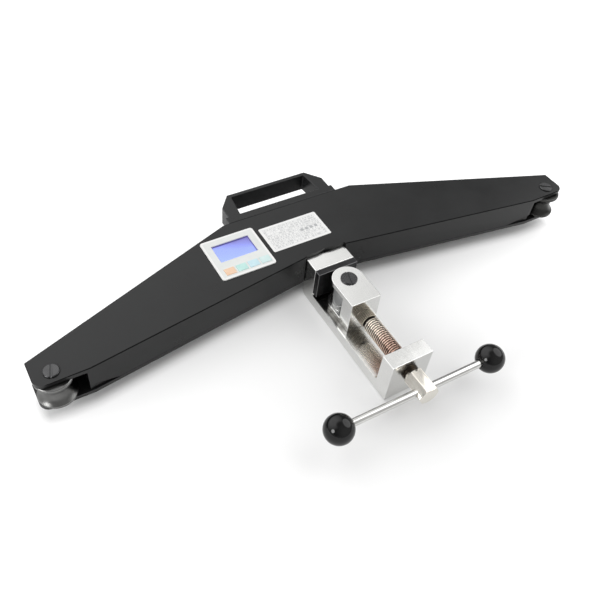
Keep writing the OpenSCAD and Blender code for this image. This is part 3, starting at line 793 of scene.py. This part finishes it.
thread, given, result, thread_keys = new_rule("thread_ridge", {
    "Crest": "Float", "Root": "Float", "Pitch": "Float", "Start": "Float", "Length": "Float",
    "Height": "Float", "Around": "Int", "Along": "Int", "Finish": "Material"})
grid = add(thread, "GeometryNodeMeshGrid")
grid.inputs["Size X"].default_value = 1
grid.inputs["Size Y"].default_value = 1
thread.links.new(given["Around"], grid.inputs["Vertices X"])
thread.links.new(given["Along"], grid.inputs["Vertices Y"])
position = thread.nodes.new("GeometryNodeInputPosition").outputs[0]
spot = add(thread, "ShaderNodeSeparateXYZ", Vector=position)
share = maths(thread, "ADD", spot.outputs["X"], 0.5)
along = maths(thread, "ADD", spot.outputs["Y"], 0.5)
reach = maths(thread, "MULTIPLY", along, given["Length"])
turns = maths(thread, "DIVIDE", reach, given["Pitch"])
phase = maths(thread, "FRACT", maths(thread, "SUBTRACT", turns, share))
doubled = maths(thread, "MULTIPLY", phase, 2.0)
slope = maths(thread, "ABSOLUTE", maths(thread, "SUBTRACT", doubled, 1.0))
print("thread places: share of a turn and reach along the axis")

# %% [markdown]
# The slope of the phase becomes a ridge with a flat root and a flat crest, which runs out
# within one pitch at both ends. Its depth is stored as the "groove" attribute for the finish.

# %% Ridge height, roll and groove
ridge = add(thread, "ShaderNodeMapRange", Value=slope, interpolation_type="SMOOTHSTEP")
ridge.inputs["From Min"].default_value = ROOT_FLAT
ridge.inputs["From Max"].default_value = CREST_FLAT
to_end = maths(thread, "SUBTRACT", given["Length"], reach)
nearest_end = maths(thread, "DIVIDE", maths(thread, "MINIMUM", reach, to_end), given["Pitch"])
runout = maths(thread, "MINIMUM", nearest_end, 1.0)
height = maths(thread, "SUBTRACT", given["Crest"], given["Root"])
rise = maths(thread, "MULTIPLY", height, maths(thread, "MULTIPLY", ridge.outputs["Result"], runout))
radius = maths(thread, "ADD", given["Root"], rise)
angle = maths(thread, "MULTIPLY", share, -2 * math.pi)
side = maths(thread, "MULTIPLY", radius, maths(thread, "COSINE", angle))
up = maths(thread, "MULTIPLY", radius, maths(thread, "SINE", angle))
rolled = add(thread, "ShaderNodeCombineXYZ")
thread.links.new(side, rolled.inputs["X"])
thread.links.new(maths(thread, "ADD", given["Start"], reach), rolled.inputs["Y"])
thread.links.new(maths(thread, "ADD", given["Height"], up), rolled.inputs["Z"])
depth = maths(thread, "SUBTRACT", 1.0, ridge.outputs["Result"])
marked = add(thread, "GeometryNodeStoreNamedAttribute", data_type="FLOAT", domain="POINT",
             Geometry=grid.outputs["Mesh"], Name="groove", Value=depth)
tube = add(thread, "GeometryNodeSetPosition", Geometry=marked.outputs[0], Position=rolled.outputs[0])
closed = add(thread, "GeometryNodeMergeByDistance", Geometry=tube.outputs[0], Distance=1e-6)
end_rule(thread, closed.outputs[0], given["Finish"], result)

ridges = grown("clamp_screw_thread", thread, thread_keys, {
    "Crest": 8.98 * MM, "Root": 7.55 * MM, "Pitch": 2.5 * MM, "Start": THREAD_START,
    "Length": THREAD_END - THREAD_START, "Height": SCREW_Z, "Around": 49, "Along": 280,
    "Finish": screw_steel})
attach(ridges, body_of_node["clamp_screw"])

# %% [markdown]
# The hexagon and the journal come from the solid, whose plain thread cylinder is drawn in to
# the root of the ridges.

# %% Core, hexagon and journal
END_SLACK = 1e-5
RADIUS_SLACK = 3e-5


def drawn_in(mesh, old_radius, new_radius, low, high):
    moved = 0
    for vertex in mesh.vertices:
        away = Vector((vertex.co.x, 0, vertex.co.z - SCREW_Z))
        between = low - END_SLACK < vertex.co.y < high + END_SLACK
        if between and abs(away.length - old_radius) < RADIUS_SLACK:
            inner = away * (new_radius / old_radius)
            vertex.co = (inner.x, vertex.co.y, inner.z + SCREW_Z)
            moved += 1
    return moved


core = new_piece("clamp_screw_dressed", merged_copy("clamp_screw"))
core_points = drawn_in(core.data, SCREW_RADIUS, CORE_RADIUS, THREAD_START, THREAD_END)
print("thread core points:", core_points)
round_edges(core, screw_steel, 0.5, segments=3)
hand_over(core, "clamp_screw")

# %% [markdown]
# ## The knurled collar
# The thrust collar has straight ridges for the fingers. One thin round rod is instanced on
# the points of a circle and the ring is turned onto the screw's axis. The solid collar is
# drawn in a little, so that the ridges end just inside its outer size.

# %% Knurl rule
COLLAR_RADIUS = 9 * MM
KNURL_FOOT = 8.45 * MM
KNURL_END_GAP = 1.4 * MM

knurl, given, result, knurl_keys = new_rule("straight_knurl", {
    "Ridges": "Int", "Ring": "Float", "Ridge radius": "Float", "Length": "Float",
    "Middle": "Vector", "Finish": "Material"})
ring = add(knurl, "GeometryNodeMeshCircle", Radius=given["Ring"])
knurl.links.new(given["Ridges"], ring.inputs["Vertices"])
rod = add(knurl, "GeometryNodeMeshCylinder", Vertices=10,
          Radius=given["Ridge radius"], Depth=given["Length"])
rods = add(knurl, "GeometryNodeInstanceOnPoints",
           Points=ring.outputs[0], Instance=rod.outputs["Mesh"])
on_axis = add(knurl, "GeometryNodeTransform", Geometry=rods.outputs[0],
              Translation=given["Middle"], Rotation=(-math.pi / 2, 0, 0))
end_rule(knurl, on_axis.outputs[0], given["Finish"], result)

collar_low, collar_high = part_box("thrust_collar")
collar_middle = (collar_low + collar_high) / 2
knurled = grown("thrust_collar_ridges", knurl, knurl_keys, {
    "Ridges": 26, "Ring": 8.48 * MM, "Ridge radius": 0.50 * MM,
    "Length": (collar_high.y - collar_low.y) - KNURL_END_GAP, "Middle": tuple(collar_middle),
    "Finish": collar_painted_highlight})
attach(knurled, body_of_node["thrust_collar"])

collar = new_piece("thrust_collar_dressed", merged_copy("thrust_collar"))
collar_points = drawn_in(collar.data, COLLAR_RADIUS, KNURL_FOOT, collar_low.y, collar_high.y)
print("collar points:", collar_points)
round_edges(collar, collar_painted_shade, 0.5)
hand_over(collar, "thrust_collar")

# %% [markdown]
# ## Turned pieces
# Ball knobs and screws are bodies of revolution. A profile of radius and height is spun round
# an axis. A ring marked with a third value follows a hexagon instead of a circle, which makes
# a socket.

# %% Spin a profile
SPUN_CREASE = math.radians(35)


def ring_point(radius, angle, six):
    if six:
        radius *= math.cos(math.pi / 6) / math.cos(angle % (math.pi / 3) - math.pi / 6)
    return radius * math.cos(angle), radius * math.sin(angle)


def spun(name, profile, steps, place):
    shape = bmesh.new()
    rings = []
    for radius, height, *six in profile:
        if radius == 0:
            rings.append([shape.verts.new((0, 0, height))])
            continue
        angles = [2 * math.pi * i / steps for i in range(steps)]
        rings.append([shape.verts.new((*ring_point(radius, a, six), height)) for a in angles])
    for a, b in zip(rings, rings[1:]):
        for i in range(steps):
            j = (i + 1) % steps
            if len(a) == 1:
                shape.faces.new((a[0], b[j], b[i]))
            elif len(b) == 1:
                shape.faces.new((a[i], a[j], b[0]))
            else:
                shape.faces.new((a[i], a[j], b[j], b[i]))
    bmesh.ops.recalc_face_normals(shape, faces=shape.faces[:])
    bmesh.ops.scale(shape, vec=(MM, MM, MM), verts=shape.verts[:])
    bmesh.ops.transform(shape, matrix=place, verts=shape.verts[:])
    for face in shape.faces:
        face.smooth = True
    mesh = bpy.data.meshes.new(name)
    shape.to_mesh(mesh)
    shape.free()
    mesh.set_sharp_from_angle(angle=SPUN_CREASE)
    return mesh


print("spinning helper ready")

# %% [markdown]
# The profile of a ball knob starts at the far pole and ends in the bore round the bar. Each
# ball has its own reach from the hole in the hexagon, as the bar is pushed a little to the left.

# %% Ball knobs
BALL = 15
BORE = 4.06
bar_direction = Vector((0.99970149, 0, -0.02443218))
cross_hole = Vector((0, -157.4, 33.5)) * MM
steps_round = [math.radians(a) for a in range(4, 157, 4)]
ball_arc = [(BALL * math.sin(a), -BALL * math.cos(a)) for a in steps_round]
ball_mouth = [(5.6, 13.95), (5.2, 14.0), (4.5, 13.85)]
ball_profile = [(0, -BALL), *ball_arc, *ball_mouth, (BORE, 13.4), (BORE, -0.4), (0, -0.4)]
for node, reach, towards in (("left_ball_knob", -97.3, 1), ("right_ball_knob", 84.3, -1)):
    axis = (bar_direction * towards).to_track_quat("Z", "Y").to_matrix().to_4x4()
    place = Matrix.Translation(cross_hole + bar_direction * reach * MM) @ axis
    ball = new_piece(node + "_dressed", spun(node, ball_profile, 72, place))
    ball.data.materials.append(ball_black)
    hand_over(ball, node)

# %% [markdown]
# The bar is a plain chromed rod, so it only needs its edges broken.

# %% Tommy bar
dressed("tommy_bar", bar_chrome, 0.3)

# %% [markdown]
# ## Cover screws
# Six socket screws hold the cover from below. One screw is spun, and a rule puts an instance
# of it on six points, which is how any pattern of fasteners is best made.

# %% Screw rule
SCREW_SPOTS = ((255, 12), (150, 24), (75, 93))
shank = [(0, 16), (1.7, 16), (2, 15.6), (2, 0)]
head = [(3.8, 0), (3.8, -1.6), (3.55, -2.05), (3.1, -2.2)]
socket = [(1.6, -2.2, "six"), (1.5, -2.1, "six"), (1.5, -0.8, "six"), (0, -0.8)]
sample_mesh = spun("cover_screw_sample", shank + head + socket, 36, Matrix())
screw_sample = new_piece("cover_screw_sample", sample_mesh)

pattern, given, result, pattern_keys = new_rule("screw_pattern", {
    "Points": "Geometry", "Screw": "Object", "Finish": "Material"})
sample = add(pattern, "GeometryNodeObjectInfo", Object=given["Screw"])
placed = add(pattern, "GeometryNodeInstanceOnPoints",
             Points=given["Points"], Instance=sample.outputs["Geometry"])
end_rule(pattern, placed.outputs[0], given["Finish"], result)

cover_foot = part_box("base_cover")[0].z
screw_places = [(side * x * MM, y * MM, cover_foot) for side in (-1, 1) for x, y in SCREW_SPOTS]
cover_screws = grown("base_cover_screws_dressed", pattern, pattern_keys,
                     {"Screw": screw_sample, "Finish": fastener_steel}, points=screw_places)
bpy.data.objects.remove(screw_sample)
hand_over(cover_screws, "base_cover_screws")

# %% [markdown]
# ## Pieces that keep their solid
# What sits inside the housing, and small clips and bushes, are right as they are. Each still
# gets a finish with grain and uneven gloss, since the assembly can be opened.

# %% Finishes for the remaining nodes
FASTENERS = ("load_cell_bolts", "handle_bolts", "clamp_bolts", "jaw_pad_screws", "pin_clips", "screw_clip")
BRASS_PIECES = ("board_pillars", "left_bush", "right_bush", "clamp_bush")

kept = {"display_window": window_clear, "lcd_module": screen_blue, "circuit_board": board_green,
        "battery_pack": battery, "load_cell": cell_aluminium}
kept.update(dict.fromkeys(FASTENERS, fastener_steel))
kept.update(dict.fromkeys(BRASS_PIECES, brass))
for node, finish in kept.items():
    for slot in nodes[node].material_slots:
        slot.material = finish
print("kept solids:", len(kept))

# %% [markdown]
# ## Floor and light
# The tool lies on a white sheet under soft studio light. The sheet's paper is a little grey,
# so that it takes a shadow.

# %% White floor
FLOOR_HALF = 5
FLOOR_Z = -0.3 * MM

signs = ((-1, -1), (1, -1), (1, 1), (-1, 1))
corners = [(x * FLOOR_HALF, y * FLOOR_HALF, FLOOR_Z) for x, y in signs]
floor_mesh = bpy.data.meshes.new("white_floor")
floor_mesh.from_pydata(corners, [], [(0, 1, 2, 3)])
floor = new_piece("white_floor", floor_mesh)
paper, tree, shader = new_finish("white_paper", (0.78, 0.78, 0.78), roughness=0.9, specular=0.0)
floor_mesh.materials.append(paper)
print("floor", 2 * FLOOR_HALF, "m wide, just under the clamp frame")

# %% [markdown]
# The floor glows a little for the camera, so that it reads as white. It glows less close to
# the clamp and almost none under the housing, which keeps the shadows and paints a darker
# floor round the clamp and under the housing as shadow. The mask for the housing follows its
# outline: a front line and a back line that slope away from the middle, and the two ends of
# the arms.

# %% The floor's own light
CLAMP_MIDDLE = (0, -0.13, 0)
NEAR = 0.05
FAR = 0.24
LIFT_NEAR = 0.09
LIFT_FAR = 0.42
GLOSSY_SHARE = 0.3
UNDER_SHARE = 0.95


def sloped(tree, aside, start, slope):
    return maths(tree, "SUBTRACT", start, maths(tree, "MULTIPLY", aside, slope))


def under_housing(tree):
    spot = add(tree, "ShaderNodeSeparateXYZ", Vector=where(tree))
    aside = maths(tree, "ABSOLUTE", spot.outputs["X"])
    front = maths(tree, "MAXIMUM", sloped(tree, aside, 29.1 * MM, 0.1453), -10.3 * MM)
    back = maths(tree, "MINIMUM", sloped(tree, aside, 136.6 * MM, 0.36), 107 * MM)
    past_front = maths(tree, "SUBTRACT", spot.outputs["Y"], front)
    past_back = maths(tree, "SUBTRACT", back, spot.outputs["Y"])
    behind_front = scaled(tree, past_front, 0, 1, -6 * MM, 8 * MM)
    before_back = scaled(tree, past_back, 0, 1, -4 * MM, 6 * MM)
    between_ends = scaled(tree, aside, 1, 0, 316 * MM, 326 * MM)
    return maths(tree, "MULTIPLY", maths(tree, "MULTIPLY", behind_front, before_back), between_ends)


path = tree.nodes.new("ShaderNodeLightPath")
glossy = maths(tree, "MULTIPLY", path.outputs["Is Glossy Ray"], GLOSSY_SHARE)
seen = maths(tree, "MAXIMUM", glossy, path.outputs["Is Transmission Ray"])
seen = maths(tree, "MAXIMUM", path.outputs["Is Camera Ray"], seen)
from_clamp = add(tree, "ShaderNodeVectorMath", operation="LENGTH")
to_clamp = tuple(-c for c in CLAMP_MIDDLE)
tree.links.new(where(tree, shift=to_clamp, stretch=(0.8, 1, 1)), from_clamp.inputs[0])
lift = scaled(tree, from_clamp.outputs["Value"], LIFT_NEAR, LIFT_FAR, NEAR, FAR)
shade = maths(tree, "MULTIPLY", under_housing(tree), UNDER_SHARE)
lift = maths(tree, "MULTIPLY", lift, maths(tree, "SUBTRACT", 1.0, shade))
shader.inputs["Emission Color"].default_value = (1, 1, 1, 1)
tree.links.new(maths(tree, "MULTIPLY", seen, lift), shader.inputs["Emission Strength"])
print("floor light from", LIFT_NEAR, "at the clamp to", LIFT_FAR)

# %% [markdown]
# The dome is brightest behind the tool and above it, which gives the broad light and the
# reflections on the top faces. It is dimmer at the zenith, in front and near the horizon. The
# camera itself sees plain white behind the floor.

# %% Sky dome
BACK_ABOVE = (-0.30, 0.66, 0.69)
FRONT_ABOVE = (0.25, -0.86, 0.44)
world = bpy.data.worlds.new("studio")
scene.world = world
world.use_nodes = True
tree = world.node_tree
background = tree.nodes["Background"]
outward = tree.nodes.new("ShaderNodeTexCoord").outputs["Generated"]
upward = add(tree, "ShaderNodeSeparateXYZ", Vector=outward).outputs["Z"]


def toward(direction):
    dot = add(tree, "ShaderNodeVectorMath", operation="DOT_PRODUCT")
    tree.links.new(outward, dot.inputs[0])
    dot.inputs[1].default_value = direction
    return dot.outputs["Value"]


sky = graded(tree, toward(BACK_ABOVE), [
    (0.0, (0.18, 0.18, 0.185)),
    (0.48, (0.26, 0.26, 0.262)),
    (0.575, (0.31, 0.31, 0.312)),
    (0.66, (0.76, 0.76, 0.755)),
    (0.85, (1.45, 1.45, 1.45)),
    (0.935, (1.8, 1.8, 1.8)),
    (1.0, (1.8, 1.8, 1.8))])
zenith = scaled(tree, upward, 0, 1, 0.86, 0.97)
sky = mixed(tree, zenith, sky, (0.34, 0.34, 0.34))
front_glow = scaled(tree, toward(FRONT_ABOVE), 0, 1, 0.45, 0.95)
sky = mixed(tree, front_glow, sky, (0.6, 0.6, 0.592))
horizon = scaled(tree, upward, 1, 0, 0.03, 0.22)
dome = mixed(tree, horizon, sky, (0.5, 0.5, 0.5))
path = tree.nodes.new("ShaderNodeLightPath")
backdrop = mixed(tree, path.outputs["Is Camera Ray"], dome, (1, 1, 1))
tree.links.new(backdrop, background.inputs["Color"])
background.inputs["Strength"].default_value = 1.0
print("dome brightest towards", BACK_ABOVE)

# %% [markdown]
# A large softbox on the right and a smaller window on the left shape the metal and the balls.

# %% Soft lights
def soft_light(name, place, aim, size, power):
    data = bpy.data.lights.new(name, "AREA")
    data.shape = "ELLIPSE"
    data.size, data.size_y = size
    data.energy = power
    lamp = bpy.data.objects.new(name, data)
    scene.collection.objects.link(lamp)
    turn = (Vector(aim) - Vector(place)).to_track_quat("-Z", "Y")
    lamp.matrix_world = Matrix.Translation(place) @ turn.to_matrix().to_4x4()
    print(name, power, "W at", place)


soft_light("right_softbox", place=(1.4, -0.2, 1.25), aim=(0, 0, 0), size=(2.0, 2.0), power=18)
soft_light("left_window", place=(-1.75, -0.30, 0.80), aim=(0, -0.05, 0.03), size=(0.72, 0.8), power=13)
